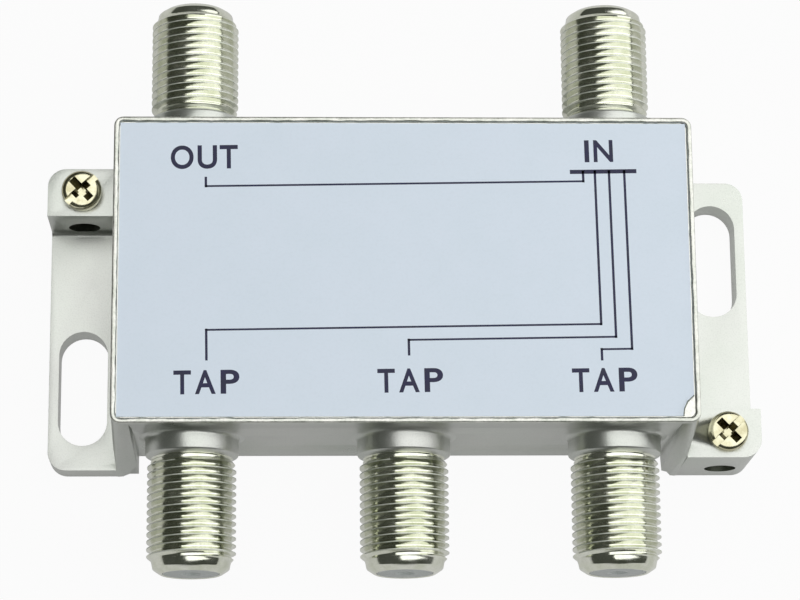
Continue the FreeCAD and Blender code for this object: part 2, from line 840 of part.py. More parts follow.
def make_capacitor(name, across, up):
    """A ceramic disc that stands on two leads."""
    body = new_body(name)
    lead = sizes.lead_wire
    centre = board_top + sizes.lead_length + sizes.capacitor_radius
    disc = new_sketch(body, f"{name}_disc", "XZ_Plane", across=across, up=centre, out=-up)
    circle(disc, 0, 0, sizes.capacitor_radius)
    pad(body, disc, sizes.capacitor_thickness, both_ways=True)
    legs = new_sketch(body, f"{name}_leads", "XY_Plane", across=across, up=up, out=board_top)
    for side in (-1, 1):
        place = sizes.lead_spacing / 2 * side
        rectangle(legs, place - lead / 2, place + lead / 2, -lead / 2, lead / 2)
    pad(body, legs, sizes.lead_length + sizes.capacitor_radius)
    return body


def make_resistor(name, across, up):
    """A chip resistor that lies on the board."""
    body = new_body(name)
    sketch = new_sketch(body, f"{name}_face", "XY_Plane", across=across, up=up, out=board_top)
    half_across = sizes.resistor_length / 2
    half_up = sizes.resistor_width / 2
    rectangle(sketch, -half_across, half_across, -half_up, half_up)
    pad(body, sketch, sizes.resistor_height)
    return body


def make_electronics():
    made = [make_board()]
    for name, column, side in PORTS:
        made.append(make_insulator(name, column, side))
        made.append(make_contact(name, column, side))
    for number, column in ((1, -0.5), (2, 0.5)):
        across = sizes.coupler_spacing * column
        made.append(make_core(f"coupler_core_{number}", across, sizes.coupler_row))
        made.append(make_winding(f"coupler_winding_{number}", across, sizes.coupler_row))
    for number, column in ((1, -1), (2, 0), (3, 1)):
        across = sizes.splitter_spacing * column
        made.append(make_core(f"splitter_core_{number}", across, -sizes.splitter_row))
        made.append(make_winding(f"splitter_winding_{number}", across, -sizes.splitter_row))
        across = sizes.capacitor_spacing * column
        made.append(make_capacitor(f"capacitor_{number}", across, sizes.capacitor_row))
        across = sizes.resistor_spacing * column
        made.append(make_resistor(f"resistor_{number}", across, -sizes.resistor_row))
    return made


def check_and_write(bodies):
    """Stops on a failed feature or an unsound solid, then writes one file for each piece."""
    document.recompute()
    for item in document.Objects:
        if "Invalid" in item.State or "Error" in item.State:
            raise RuntimeError(f"{item.Label} failed: {item.State}")
    for body in bodies:
        shape = body.Shape
        if shape.isNull() or not shape.isValid() or len(shape.Solids) != 1:
            raise RuntimeError(f"{body.Label} is not one sound solid")
    os.makedirs("parts", exist_ok=True)
    for body in bodies:
        body.Shape.exportStep(f"parts/{body.Label}.step")


check_and_write(
    [
        make_housing(),
        make_cover(),
        make_label(),
        make_screw("left_earthing_screw", -1, left_block_centre),
        make_screw("right_earthing_screw", 1, right_block_centre),
        *make_electronics(),
    ]
)
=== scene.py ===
import json
import math

import bmesh
import bpy
from mathutils import Matrix, Vector, noise


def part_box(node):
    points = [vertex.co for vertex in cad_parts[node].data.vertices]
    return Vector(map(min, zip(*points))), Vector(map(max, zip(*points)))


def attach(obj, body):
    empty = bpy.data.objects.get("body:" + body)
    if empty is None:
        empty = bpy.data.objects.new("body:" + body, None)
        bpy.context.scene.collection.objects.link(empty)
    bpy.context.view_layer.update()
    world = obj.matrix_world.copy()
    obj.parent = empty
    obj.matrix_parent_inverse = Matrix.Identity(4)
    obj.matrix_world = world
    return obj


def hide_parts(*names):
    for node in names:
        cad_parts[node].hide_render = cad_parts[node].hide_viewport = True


# Cable television tap, dressed around its solids. Every shape is worked out in millimetres
# and scaled to metres when it becomes a piece. +Z leaves the label, +Y is the line side.

MM = 0.001
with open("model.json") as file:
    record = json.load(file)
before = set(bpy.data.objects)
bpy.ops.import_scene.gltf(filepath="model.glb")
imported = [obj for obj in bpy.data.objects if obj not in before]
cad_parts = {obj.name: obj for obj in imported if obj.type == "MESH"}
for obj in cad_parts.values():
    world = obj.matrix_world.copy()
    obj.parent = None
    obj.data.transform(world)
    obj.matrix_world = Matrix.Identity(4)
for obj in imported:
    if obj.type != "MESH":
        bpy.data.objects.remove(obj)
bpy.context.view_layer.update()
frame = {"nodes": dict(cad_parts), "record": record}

BODY = "tap_body"
LINE_SIDE, TAP_SIDE = 1, -1
MOUNTS = {mount["name"]: mount for mount in frame["record"]["mounts"]}

# Sizes of the box, from the frame
label_low, label_high = (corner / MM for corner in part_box("label"))
cover_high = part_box("cover_plate")[1] / MM
LABEL_TOP = label_high.z
COVER_TOP = cover_high.z
RIM_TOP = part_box("housing")[1].z / MM
LIP_WIDTH = 0.5
COVER_GAP = 0.05
BOX_HALF_WIDTH = cover_high.x + COVER_GAP + LIP_WIDTH
BOX_HALF_HEIGHT = cover_high.y + COVER_GAP + LIP_WIDTH
BOX_CORNER = 1.0
PORT_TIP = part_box("housing")[1].y / MM

# Port thread, 3/8 inch across and 32 turns to the inch, its ends from the box's middle
THREAD_CREST = MOUNTS["port_out_thread"]["dims"]["r_mm"]
THREAD_PITCH = 25.4 / 32
THREAD_ROOT = 4.23
THREAD_COLUMNS = 72
THREAD_START = 19.1
THREAD_END = 29.9
FLARE_RADIUS = 5.55
BORE_RADIUS = 3.0
BORE_FLOOR = 15.2


# Finishes

def new_finish(name):
    """An empty node material with its shader, ready for its own nodes."""
    finish = bpy.data.materials.new(name)
    finish.use_nodes = True
    nodes = finish.node_tree.nodes
    nodes.clear()
    output = nodes.new("ShaderNodeOutputMaterial")
    shader = nodes.new("ShaderNodeBsdfPrincipled")
    finish.node_tree.links.new(shader.outputs["BSDF"], output.inputs["Surface"])
    return finish, shader


def add_noise(finish, grain, detail=3.0):
    """Noise whose lumps measure grain in millimetres."""
    nodes = finish.node_tree.nodes
    place = nodes.new("ShaderNodeTexCoord")
    lumps = nodes.new("ShaderNodeTexNoise")
    lumps.inputs["Scale"].default_value = 1 / (grain * MM)
    lumps.inputs["Detail"].default_value = detail
    finish.node_tree.links.new(place.outputs["Object"], lumps.inputs["Vector"])
    return lumps.outputs["Fac"]


def ramp_between(finish, source, low, high, start=0.35, end=0.65):
    """Colours from low to high as the source goes from start to end."""
    ramp = finish.node_tree.nodes.new("ShaderNodeValToRGB")
    stops = ramp.color_ramp.elements
    stops[0].position, stops[1].position = start, end
    stops[0].color = (*low, 1)
    stops[1].color = (*high, 1)
    finish.node_tree.links.new(source, ramp.inputs["Fac"])
    return ramp.outputs["Color"]


def spread_roughness(finish, shader, source, low, high):
    """Roughness that follows a noise from low to high."""
    reach = finish.node_tree.nodes.new("ShaderNodeMapRange")
    reach.inputs["From Min"].default_value = 0.3
    reach.inputs["From Max"].default_value = 0.7
    reach.inputs["To Min"].default_value = low
    reach.inputs["To Max"].default_value = high
    finish.node_tree.links.new(source, reach.inputs["Value"])
    finish.node_tree.links.new(reach.outputs["Result"], shader.inputs["Roughness"])


def add_relief(finish, shader, source, depth):
    """Bumps of this depth in millimetres, from a noise."""
    bump = finish.node_tree.nodes.new("ShaderNodeBump")
    bump.inputs["Distance"].default_value = depth * MM
    finish.node_tree.links.new(source, bump.inputs["Height"])
    finish.node_tree.links.new(bump.outputs["Normal"], shader.inputs["Normal"])


def speckled_finish(
    name, dark, pale, grain, roughness, relief, metallic=0.0, blotch=6.0, speck=0.9
):
    """Colour that drifts in blotches, over a finer grain; grain, relief and blotch in mm."""
    finish, shader = new_finish(name)
    drift = add_noise(finish, blotch)
    fine = add_noise(finish, grain, detail=2.0)
    mix = finish.node_tree.nodes.new("ShaderNodeMix")
    mix.data_type = "RGBA"
    mix.blend_type = "MULTIPLY"
    mix.inputs["Factor"].default_value = 1.0
    colour = ramp_between(finish, drift, dark, pale)
    grains = ramp_between(finish, fine, (speck,) * 3, (1, 1, 1), 0.35, 0.5)
    finish.node_tree.links.new(colour, mix.inputs["A"])
    finish.node_tree.links.new(grains, mix.inputs["B"])
    finish.node_tree.links.new(mix.outputs["Result"], shader.inputs["Base Color"])
    shader.inputs["Metallic"].default_value = metallic
    spread_roughness(finish, shader, drift, roughness - 0.06, roughness + 0.06)
    add_relief(finish, shader, fine, relief)
    return finish


cast_zinc = speckled_finish(
    "plated_casting", (0.55, 0.575, 0.53), (0.63, 0.64, 0.61),
    grain=0.16, roughness=0.33, relief=0.010, metallic=0.88, blotch=9.0, speck=0.93,
)
# Painted shade: the wire holes' walls are coloured near black for the shade inside them
wire_hole_painted_shade_zinc = speckled_finish(
    "wire_hole_painted_shade", (0.07, 0.08, 0.06), (0.13, 0.14, 0.11),
    grain=0.15, roughness=0.5, relief=0.01, metallic=0.8, blotch=1.5,
)
rim_zinc = speckled_finish(
    "rolled_rim_metal", (0.56, 0.58, 0.52), (0.76, 0.76, 0.71),
    grain=0.3, roughness=0.36, relief=0.02, metallic=0.9, blotch=1.2,
)
turned_zinc = speckled_finish(
    "plated_thread", (0.68, 0.70, 0.58), (0.82, 0.83, 0.74),
    grain=0.12, roughness=0.15, relief=0.002, metallic=1.0, blotch=1.6,
)
crest_zinc = speckled_finish(
    "worn_thread_crest", (0.58, 0.62, 0.52), (0.76, 0.78, 0.72),
    grain=0.1, roughness=0.5, relief=0.002, metallic=0.55, blotch=0.8,
)
screw_brass = speckled_finish(
    "screw_metal", (0.48, 0.45, 0.29), (0.70, 0.68, 0.50),
    grain=0.1, roughness=0.15, relief=0.001, metallic=1.0, blotch=1.2, speck=0.97,
)
# Painted shade: the screw's slot and cross recess are coloured dark for the shade inside them
recess_painted_shade_brass = speckled_finish(
    "screw_recess_painted_shade", (0.10, 0.09, 0.04), (0.26, 0.24, 0.14),
    grain=0.1, roughness=0.3, relief=0.001, metallic=1.0, blotch=0.6,
)
tinned_steel = speckled_finish(
    "tinned_sheet", (0.68, 0.68, 0.63), (0.80, 0.80, 0.76),
    grain=0.25, roughness=0.35, relief=0.004, metallic=0.9, blotch=2.0,
)
label_film = speckled_finish(
    "printed_film", (0.735, 0.83, 0.935), (0.76, 0.85, 0.96),
    grain=0.35, roughness=0.45, relief=0.001, blotch=5.0, speck=0.985,
)
# Painted shadow: a dark band along the tear stands for the shadow of the curled torn edge
torn_edge_painted_shade_film = speckled_finish(
    "torn_edge_painted_shade", (0.10, 0.12, 0.10), (0.30, 0.33, 0.29),
    grain=0.2, roughness=0.6, relief=0.004, blotch=0.5,
)
print_ink = speckled_finish(
    "navy_ink", (0.010, 0.011, 0.045), (0.018, 0.018, 0.07),
    grain=0.2, roughness=0.6, relief=0.001, blotch=1.5,
)
white_plastic = speckled_finish(
    "white_bush_plastic", (0.78, 0.83, 0.82), (0.84, 0.88, 0.87),
    grain=0.2, roughness=0.4, relief=0.002, blotch=2.0,
)
contact_bronze = speckled_finish(
    "contact_strip", (0.62, 0.42, 0.20), (0.76, 0.55, 0.30),
    grain=0.1, roughness=0.25, relief=0.001, metallic=1.0, blotch=1.0,
)
board_laminate = speckled_finish(
    "board_laminate_finish", (0.36, 0.22, 0.08), (0.46, 0.30, 0.12),
    grain=0.3, roughness=0.5, relief=0.004, blotch=3.0,
)
ferrite = speckled_finish(
    "ferrite_finish", (0.035, 0.035, 0.04), (0.06, 0.06, 0.065),
    grain=0.15, roughness=0.6, relief=0.008, blotch=1.5,
)
enamelled_copper = speckled_finish(
    "enamelled_wire", (0.42, 0.12, 0.04), (0.55, 0.19, 0.07),
    grain=0.2, roughness=0.25, relief=0.001, metallic=0.7, blotch=1.0,
)
capacitor_ceramic = speckled_finish(
    "dipped_ceramic", (0.55, 0.26, 0.06), (0.66, 0.34, 0.09),
    grain=0.3, roughness=0.35, relief=0.01, blotch=1.2,
)
resistor_ceramic = speckled_finish(
    "lacquered_chip", (0.03, 0.03, 0.035), (0.07, 0.07, 0.08),
    grain=0.2, roughness=0.4, relief=0.003, blotch=0.8,
)


# Building blocks

def add_piece(name, bm, finish, body=BODY, sharp=35.0):
    """Turns a bmesh in millimetres into a finished piece that rides on a body."""
    bmesh.ops.scale(bm, vec=(MM, MM, MM), verts=bm.verts)
    mesh = bpy.data.meshes.new(name)
    bm.to_mesh(mesh)
    bm.free()
    mesh.polygons.foreach_set("use_smooth", [True] * len(mesh.polygons))
    mesh.set_sharp_from_angle(angle=math.radians(sharp))
    for each in finish if isinstance(finish, tuple) else (finish,):
        mesh.materials.append(each)
    piece = bpy.data.objects.new(name, mesh)
    bpy.context.scene.collection.objects.link(piece)
    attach(piece, body)
    return piece


def copy_of(node):
    """The CAD node's mesh in millimetres, with its loose triangles joined into faces."""
    bm = bmesh.new()
    bm.from_mesh(frame["nodes"][node].data)
    bmesh.ops.scale(bm, vec=(1 / MM,) * 3, verts=bm.verts)
    bmesh.ops.remove_doubles(bm, verts=bm.verts, dist=0.002)
    bmesh.ops.dissolve_limit(
        bm, angle_limit=math.radians(0.5), verts=bm.verts, edges=bm.edges
    )
    return bm


def open_edges(bm, inside=None):
    """Edges with one face, all of them or those whose middle passes a test."""
    found = [edge for edge in bm.edges if edge.is_boundary]
    if inside:
        found = [edge for edge in found if inside(sum((v.co for v in edge.verts), Vector()) / 2)]
    return found


def extend_rings(bm, ring, stations):
    """Grows an open ring of edges round the Z axis through (height, radius) stations."""
    for height, radius in stations:
        made = bmesh.ops.extrude_edge_only(bm, edges=ring)["geom"]
        verts = {item for item in made if isinstance(item, bmesh.types.BMVert)}
        ring = [
            item for item in made
            if isinstance(item, bmesh.types.BMEdge) and set(item.verts) <= verts
        ]
        for vert in verts:
            direction = vert.co.xy.normalized()
            vert.co = Vector((*(direction * radius), height))
    return ring


def threaded_band(crest, root, pitch, start, end, envelope, columns):
    """A right hand thread round the Z axis, trimmed flat at start and end."""
    bm = bmesh.new()
    flat = 0.072 * pitch
    flank = pitch / 2 - flat
    profile = (
        (root, 0), (root, flat), ((root + crest) / 2, pitch / 4 + flat / 2),
        (crest, flank), (crest, pitch - flank),
        ((root + crest) / 2, pitch * 3 / 4 - flat / 2), (root, pitch - flat), (root, pitch),
    )
    verts = [bm.verts.new((radius, 0, start - pitch + height)) for radius, height in profile]
    edges = [bm.edges.new(pair) for pair in zip(verts, verts[1:])]
    turns = math.ceil((end - start) / pitch) + 2
    bmesh.ops.spin(
        bm, geom=verts + edges, cent=(0, 0, 0), axis=(0, 0, 1),
        dvec=(0, 0, pitch / columns), angle=2 * math.pi * turns, steps=columns * turns,
        use_merge=False, use_normal_flip=False, use_duplicate=False,
    )
    bmesh.ops.remove_doubles(bm, verts=bm.verts, dist=0.004)
    for vert in bm.verts:
        height = min(max(vert.co.z, start), end)
        radius = min(vert.co.xy.length, envelope(height))
        vert.co = Vector((*(vert.co.xy.normalized() * radius), height))
    bmesh.ops.remove_doubles(bm, verts=bm.verts, dist=0.004)
    bmesh.ops.dissolve_degenerate(bm, dist=0.001, edges=bm.edges)
    low = open_edges(bm, lambda middle: middle.z < start + 0.01)
    high = open_edges(bm, lambda middle: middle.z > end - 0.01)
    return bm, low, high


# The casting

PORTS = {
    name: Vector(MOUNTS[f"port_{name}_thread"]["pos_m"]) / MM
    for name in ("out", "in", "tap_1", "tap_2", "tap_3")
}
WIRE_HOLES = [
    Vector(MOUNTS[f"{side}_earth_wire_hole"]["pos_m"]) / MM for side in ("left", "right")
]
WIRE_HOLE_RADIUS = MOUNTS["left_earth_wire_hole"]["dims"]["r_mm"]
EDGE_BREAK = 0.26
# Top of the solid's own gusset, shorter than the one that is put over it
SHORT_GUSSET_TOP = Vector((-30.7, -16.5, 13.0))


def from_axis(point, axis_point):
    """Distance from a port's or a wire hole's axis, which runs along Y."""
    return math.hypot(point.x - axis_point.x, point.z - axis_point.z)


def take_off_barrels(bm):
    """Cuts the plain barrels off and closes each port's opening round its bore."""
    reach = FLARE_RADIUS + 0.1

    def on_barrel(point):
        return any(
            from_axis(point, port) < reach
            and point.y * math.copysign(1, port.y) > BOX_HALF_HEIGHT + 0.01
            for port in PORTS.values()
        )

    barrels = [face for face in bm.faces if on_barrel(face.calc_center_median())]
    bmesh.ops.delete(bm, geom=barrels, context="FACES")
    for port in PORTS.values():
        ring = open_edges(bm, lambda at: from_axis(at, port) < reach and at.y * port.y > 0)
        bmesh.ops.bridge_loops(bm, edges=ring)


def make_room_for_trim(bm):
    """Lowers the rim under its rolled lip and sinks the short gusset under the long one."""
    top = SHORT_GUSSET_TOP
    for vert in bm.verts:
        at = vert.co
        if at.z > COVER_TOP + 0.01:
            at.z = COVER_TOP - 0.05
        elif at.x < top.x and at.y < top.y and abs(at.z - top.z) < 0.1:
            at.y = top.y + 0.3


def break_outer_edges(bm):
    """Rounds the sharp edges outside the box, up to the rim."""
    def outer(edge):
        middle = (edge.verts[0].co + edge.verts[1].co) / 2
        outside = abs(middle.x) > BOX_HALF_WIDTH - 0.01 or abs(middle.y) > BOX_HALF_HEIGHT - 0.01
        near_rim = middle.z > COVER_TOP - 0.1
        return outside and not near_rim

    sharp = [
        edge for edge in bm.edges
        if len(edge.link_faces) == 2 and edge.is_convex
        and edge.calc_face_angle(0) > math.radians(40) and outer(edge)
    ]
    bmesh.ops.bevel(
        bm, geom=sharp, offset=EDGE_BREAK, offset_type="OFFSET", segments=3, profile=0.5,
        affect="EDGES", clamp_overlap=True, material=-1,
    )


def in_wire_hole(face):
    """Whether a face belongs to the wall of one of the two wire holes."""
    middle = face.calc_center_median()
    return abs(face.normal.y) < 0.5 and any(
        from_axis(middle, hole) < WIRE_HOLE_RADIUS + 0.05 and abs(middle.y - hole.y) < 5.5
        for hole in WIRE_HOLES
    )


def dress_casting():
    """The casting's own solid without its barrels, its outer edges broken."""
    bm = copy_of("housing")
    take_off_barrels(bm)
    make_room_for_trim(bm)
    break_outer_edges(bm)
    # Painted shade: the faces of the wire holes' walls take the near-black finish
    for face in bm.faces:
        if in_wire_hole(face):
            face.material_index = 1
    casting = add_piece("housing_casting", bm, (cast_zinc, wire_hole_painted_shade_zinc), sharp=40)
    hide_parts("housing")


def corner_gusset(side, step_height, toe):
    """Cast gusset from a lower corner of the box down to the ear or block beside it.

    Its three outlines lie at the back face, at the top of the ear or block, and under the rim.
    """
    mirror = -1 if side == "left" else 1
    rim_height = 17.2
    root, inside = 28.6, -15.9
    heel, front = 28.72, -18.87
    high_heel = -16.9 - 1.45 * (1 - step_height / rim_height)
    levels = (
        (0, (
            (root, -16.4), (heel, -18.3), (29.3, -18.45), (toe - 0.45, -18.84), (toe, -18.88),
            (toe + 0.4, -18.84), (toe + 0.5, inside), (root, inside),
        )),
        (step_height, (
            (root, -16.4), (heel, high_heel),
            (heel + (toe - heel) * 0.45, high_heel + (front - high_heel) * 0.35),
            (heel + (toe - heel) * 0.75, high_heel + (front - high_heel) * 0.97),
            (toe, front), (toe + 0.1, front + 0.05), (toe + 0.5, inside), (root, inside),
        )),
        (rim_height, (
            (root, -16.3), (28.9, -16.56), (29.3, -16.57), (29.9, -16.57), (30.3, -16.46),
            (30.62, -16.2), (30.7, inside), (root, inside),
        )),
    )
    bm = bmesh.new()
    rings, loops = [], []
    for height, outline in levels:
        ring = [bm.verts.new((x * mirror, y, height)) for x, y in outline]
        rings.append(ring)
        loops.append([bm.edges.new(pair) for pair in zip(ring, ring[1:] + ring[:1])])
    for lower, upper in zip(loops, loops[1:]):
        bmesh.ops.bridge_loops(bm, edges=lower + upper)
    bm.faces.new(rings[0])
    bm.faces.new(rings[-1])
    bmesh.ops.recalc_face_normals(bm, faces=bm.faces)
    add_piece(f"{side}_corner_gusset", bm, cast_zinc, sharp=50)


# Steps inwards and upwards over the rolled lip, from the box's side to the label
RIM_PROFILE = (
    (0.05, 0.07), (0.1, 0.045), (0.21, 0.005), (0.07, -0.03), (0.11, -0.14), (0.02, -0.2),
)


def dent_rim(bm, half, base):
    """Shakes the rim's line and its crest a little, more towards the label."""
    for vert in bm.verts:
        to_side, to_end = half.x - abs(vert.co.x), half.y - abs(vert.co.y)
        share = min(max(min(to_side, to_end) / 0.5, 0), 1)
        wave = noise.noise(vert.co * 0.9) * 0.09 + noise.noise(vert.co * 2.6) * 0.07
        if to_side < to_end:
            heading = Vector((math.copysign(1, vert.co.x), 0))
        else:
            heading = Vector((0, math.copysign(1, vert.co.y)))
        vert.co.xy += heading * wave * share
        if vert.co.z > base + 0.05:
            dent = noise.noise(vert.co * 1.7 + Vector((7, 3, 1)))
            vert.co.z = min(vert.co.z + dent * 0.06 * (0.3 + share) - 0.015, RIM_TOP)


def rolled_rim():
    """The rim's lip, rolled in over the cover: an uneven ridge round the label."""
    bm = bmesh.new()
    half = Vector((BOX_HALF_WIDTH + 0.02, BOX_HALF_HEIGHT + 0.02, 0))
    base = COVER_TOP - 0.09
    bmesh.ops.create_grid(bm, x_segments=1, y_segments=1, size=1)
    bmesh.ops.scale(bm, vec=(half.x, half.y, 1), verts=bm.verts)
    bmesh.ops.bevel(
        bm, geom=bm.verts, offset=BOX_CORNER, offset_type="OFFSET", segments=6, profile=0.5,
        affect="VERTICES", material=-1,
    )
    for edge in [edge for edge in bm.edges if edge.calc_length() > 5]:
        bmesh.ops.subdivide_edges(bm, edges=[edge], cuts=round(edge.calc_length() / 0.55))
    bmesh.ops.translate(bm, vec=(0, 0, base), verts=bm.verts)
    foot = list(bm.edges)
    top = bmesh.ops.extrude_face_region(bm, geom=list(bm.faces))["geom"]
    lid = next(item for item in top if isinstance(item, bmesh.types.BMFace))
    bmesh.ops.translate(bm, vec=(0, 0, RIM_TOP - 0.12 - base), verts=lid.verts)
    for inset, rise in RIM_PROFILE:
        bmesh.ops.inset_region(
            bm, faces=[lid], thickness=inset, depth=rise, use_even_offset=True, use_boundary=True
        )
    inner = list(lid.edges)
    under = [face for face in bm.faces if len(face.verts) > 100]
    bmesh.ops.delete(bm, geom=under, context="FACES_ONLY")
    bmesh.ops.bridge_loops(bm, edges=foot + inner)
    bmesh.ops.recalc_face_normals(bm, faces=bm.faces)
    dent_rim(bm, half, base)
    add_piece("rolled_rim", bm, rim_zinc, sharp=60)


# The ports, as pairs of distance from the box's middle and radius
# From the thread back over the collar to the wall
COLLAR_PROFILE = (
    (19.0, 4.26), (18.9, 4.34), (18.62, 4.84), (18.54, 4.91), (18.45, 4.95), (17.05, 4.95),
    (16.87, 4.98), (16.72, 5.08), (16.64, 5.24), (16.6, 5.62), (16.4, 5.62),
)
# From the thread forward over the nose and down the bore
NOSE_PROFILE = (
    (29.97, 4.2), (30.1, 4.16), (30.62, 4.06), (30.72, 3.98), (30.98, 3.6), (31.13, 3.38),
    (PORT_TIP, 3.24), (PORT_TIP, 3.08), (PORT_TIP - 0.06, BORE_RADIUS),
    (BORE_FLOOR, BORE_RADIUS),
)
COLLAR_FRONT = 18.95


def port_envelope(height):
    """Largest radius of the thread at a distance from the box's middle."""
    rising = THREAD_ROOT + (height - THREAD_START) * 0.8
    falling = THREAD_ROOT - 0.01 + (THREAD_END - height)
    return min(THREAD_CREST, rising, falling)


def turned_barrel():
    """Collar, thread, nose and bore of a port round the Z axis, as one closed shape."""
    bm, low, high = threaded_band(
        THREAD_CREST, THREAD_ROOT, THREAD_PITCH, THREAD_START, THREAD_END, port_envelope,
        THREAD_COLUMNS,
    )
    back = extend_rings(bm, low, COLLAR_PROFILE)
    front = extend_rings(bm, high, NOSE_PROFILE)
    bmesh.ops.bridge_loops(bm, edges=back + front)
    bmesh.ops.recalc_face_normals(bm, faces=bm.faces)
    for face in bm.faces:
        least_radius = min(vert.co.xy.length for vert in face.verts)
        front_most = max(vert.co.z for vert in face.verts)
        if front_most < COLLAR_FRONT and least_radius > BORE_RADIUS + 0.5:
            face.material_index = 1
        elif least_radius > THREAD_CREST - 0.03:
            face.material_index = 2
    return bm


def port_barrel(name, port, barrel):
    """A copy of the turned barrel, set on the wall where this port stands."""
    bm = barrel.copy()
    side = LINE_SIDE if port.y > 0 else TAP_SIDE
    turn = Matrix.Rotation(math.radians(-90 * side), 4, "X")
    place = Matrix.Translation((port.x, 0, port.z))
    bmesh.ops.transform(bm, matrix=place @ turn, verts=bm.verts)
    finishes = (turned_zinc, cast_zinc, crest_zinc)
    add_piece(f"port_barrel_{name}", bm, finishes, sharp=28)


# The earthing screws

SCREW_CREST = 1.25
SCREW_ROOT = 1.0
SCREW_PITCH = 0.45
SCREW_COLUMNS = 40
HEAD_RADIUS = 2.15
HEAD_HEIGHT = 1.5
SLOT_TURN = 43.0
SLOT_SIZE = {"length": 6.0, "width": 0.8, "depth": 0.42, "length_below": 6.0, "width_below": 0.74}
ARM_SIZE = {"length": 2.8, "width": 0.86, "depth": 1.32, "length_below": 0.9, "width_below": 0.5}
CROSS_SIZE = {"length": 3.1, "width": 0.86, "depth": 1.3, "length_below": 0.9, "width_below": 0.5}


def driver_wedge(top, length, width, depth, length_below, width_below, turn):
    """Solid that narrows downwards, to cut one arm of the recess from the head's top."""
    bm = bmesh.new()
    for vert in bmesh.ops.create_cube(bm, size=1)["verts"]:
        above = vert.co.z > 0
        reach = length if above else length_below
        breadth = width if above else width_below
        vert.co.x = math.copysign(reach / 2, vert.co.x)
        vert.co.y = math.copysign(breadth / 2, vert.co.y)
        vert.co.z = top + 0.05 if above else top - depth
    bmesh.ops.rotate(bm, verts=bm.verts, matrix=Matrix.Rotation(math.radians(turn), 3, "Z"))
    return bm


def head_blank(seat, top):
    """Pan head round the Z axis, flat on top, before its recess is cut."""
    bm = bmesh.new()
    bmesh.ops.create_circle(bm, cap_ends=True, radius=2.05, segments=64)
    bmesh.ops.translate(bm, vec=(0, 0, seat), verts=bm.verts)
    crown = extend_rings(bm, open_edges(bm), (
        (seat + 0.06, 2.13), (seat + 0.16, HEAD_RADIUS), (top - 0.6, HEAD_RADIUS),
        (top - 0.42, 2.13), (top - 0.27, 2.07), (top - 0.15, 1.96), (top - 0.07, 1.83),
        (top - 0.02, 1.68), (top, 1.52), (top, 1.48),
    ))
    bmesh.ops.edgeloop_fill(bm, edges=crown)
    bmesh.ops.recalc_face_normals(bm, faces=bm.faces)
    return bm


def plain_object(name, bm):
    """An object in millimetres that serves one cut and is removed again."""
    mesh = bpy.data.meshes.new(name)
    bm.to_mesh(mesh)
    bm.free()
    made = bpy.data.objects.new(name, mesh)
    bpy.context.scene.collection.objects.link(made)
    return made


def threaded_shank(tip, seat):
    """Thread round the Z axis from a screw's tip to its head, running out at both ends."""
    start, stop = tip + 0.15, seat - 0.1

    def runs_out(height):
        return min(SCREW_CREST, SCREW_ROOT + (height - start), SCREW_ROOT + (stop - height))

    bm, low, high = threaded_band(
        SCREW_CREST, SCREW_ROOT, SCREW_PITCH, start, stop, runs_out, SCREW_COLUMNS
    )
    end = extend_rings(bm, low, ((tip + 0.05, 0.95), (tip, 0.85)))
    shoulder = extend_rings(bm, high, ((seat + 0.08, SCREW_CREST),))
    bmesh.ops.edgeloop_fill(bm, edges=end)
    bmesh.ops.edgeloop_fill(bm, edges=shoulder)
    bmesh.ops.recalc_face_normals(bm, faces=bm.faces)
    return bm


def recessed_head(seat, top):
    """Pan head's mesh with its slot and cross recess cut in."""
    blank = plain_object("head_blank", head_blank(seat, top))
    cutters = [
        plain_object("slot_cutter", driver_wedge(top, turn=SLOT_TURN, **SLOT_SIZE)),
        plain_object("arm_cutter", driver_wedge(top, turn=SLOT_TURN, **ARM_SIZE)),
        plain_object("cross_cutter", driver_wedge(top, turn=SLOT_TURN + 90, **CROSS_SIZE)),
    ]
    for cutter in cutters:
        cut = blank.modifiers.new(cutter.name, "BOOLEAN")
        cut.object = cutter
        cut.operation = "DIFFERENCE"
        cut.solver = "EXACT"
    graph = bpy.context.evaluated_depsgraph_get()
    head = bpy.data.meshes.new_from_object(blank.evaluated_get(graph))
    for used in (blank, *cutters):
        bpy.data.objects.remove(used)
    return head


def earthing_screw(side, body):
    """Pan head screw with slot, cross recess and a thread, seated on its block."""
    node = f"{side}_earthing_screw"
    low, high = (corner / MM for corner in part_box(node))
    middle = (low + high) / 2
    seat = high.z - HEAD_HEIGHT
    bm = threaded_shank(low.z, seat)
    bm.from_mesh(recessed_head(seat, high.z))
    # Painted shade: the inner walls of the slot and the cross recess take the dark finish
    for face in bm.faces:
        centre = face.calc_center_median()
        in_head = seat + 0.12 < centre.z < high.z - 0.04 and centre.xy.length < HEAD_RADIUS - 0.05
        outward = face.normal.xy.dot(centre.xy.normalized()) > 0.2
        if in_head and not outward and face.normal.z < 0.9:
            face.material_index = 1
    bmesh.ops.translate(bm, vec=(middle.x, middle.y, 0), verts=bm.verts)
    finishes = (screw_brass, recess_painted_shade_brass)
    screw = add_piece(f"{side}_pan_head_screw", bm, finishes, body, sharp=32)
    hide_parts(node)


# The label and its print

PRINT_TURN = 0.87
INK_THICKNESS = 0.004
# Torn edge, from the label's right side down to its lower side
TEAR_POINTS = ((30.1, -13.85), (29.45, -14.45), (29.1, -15.2), (29.0, -15.95))
TORN_EDGE = 0.13
CURL_REACH, CURL_HEIGHT = 0.7, 0.16
TORN_CORNER = Vector((28.0, -13.0))
FINE_MESH_REACH = 4.5


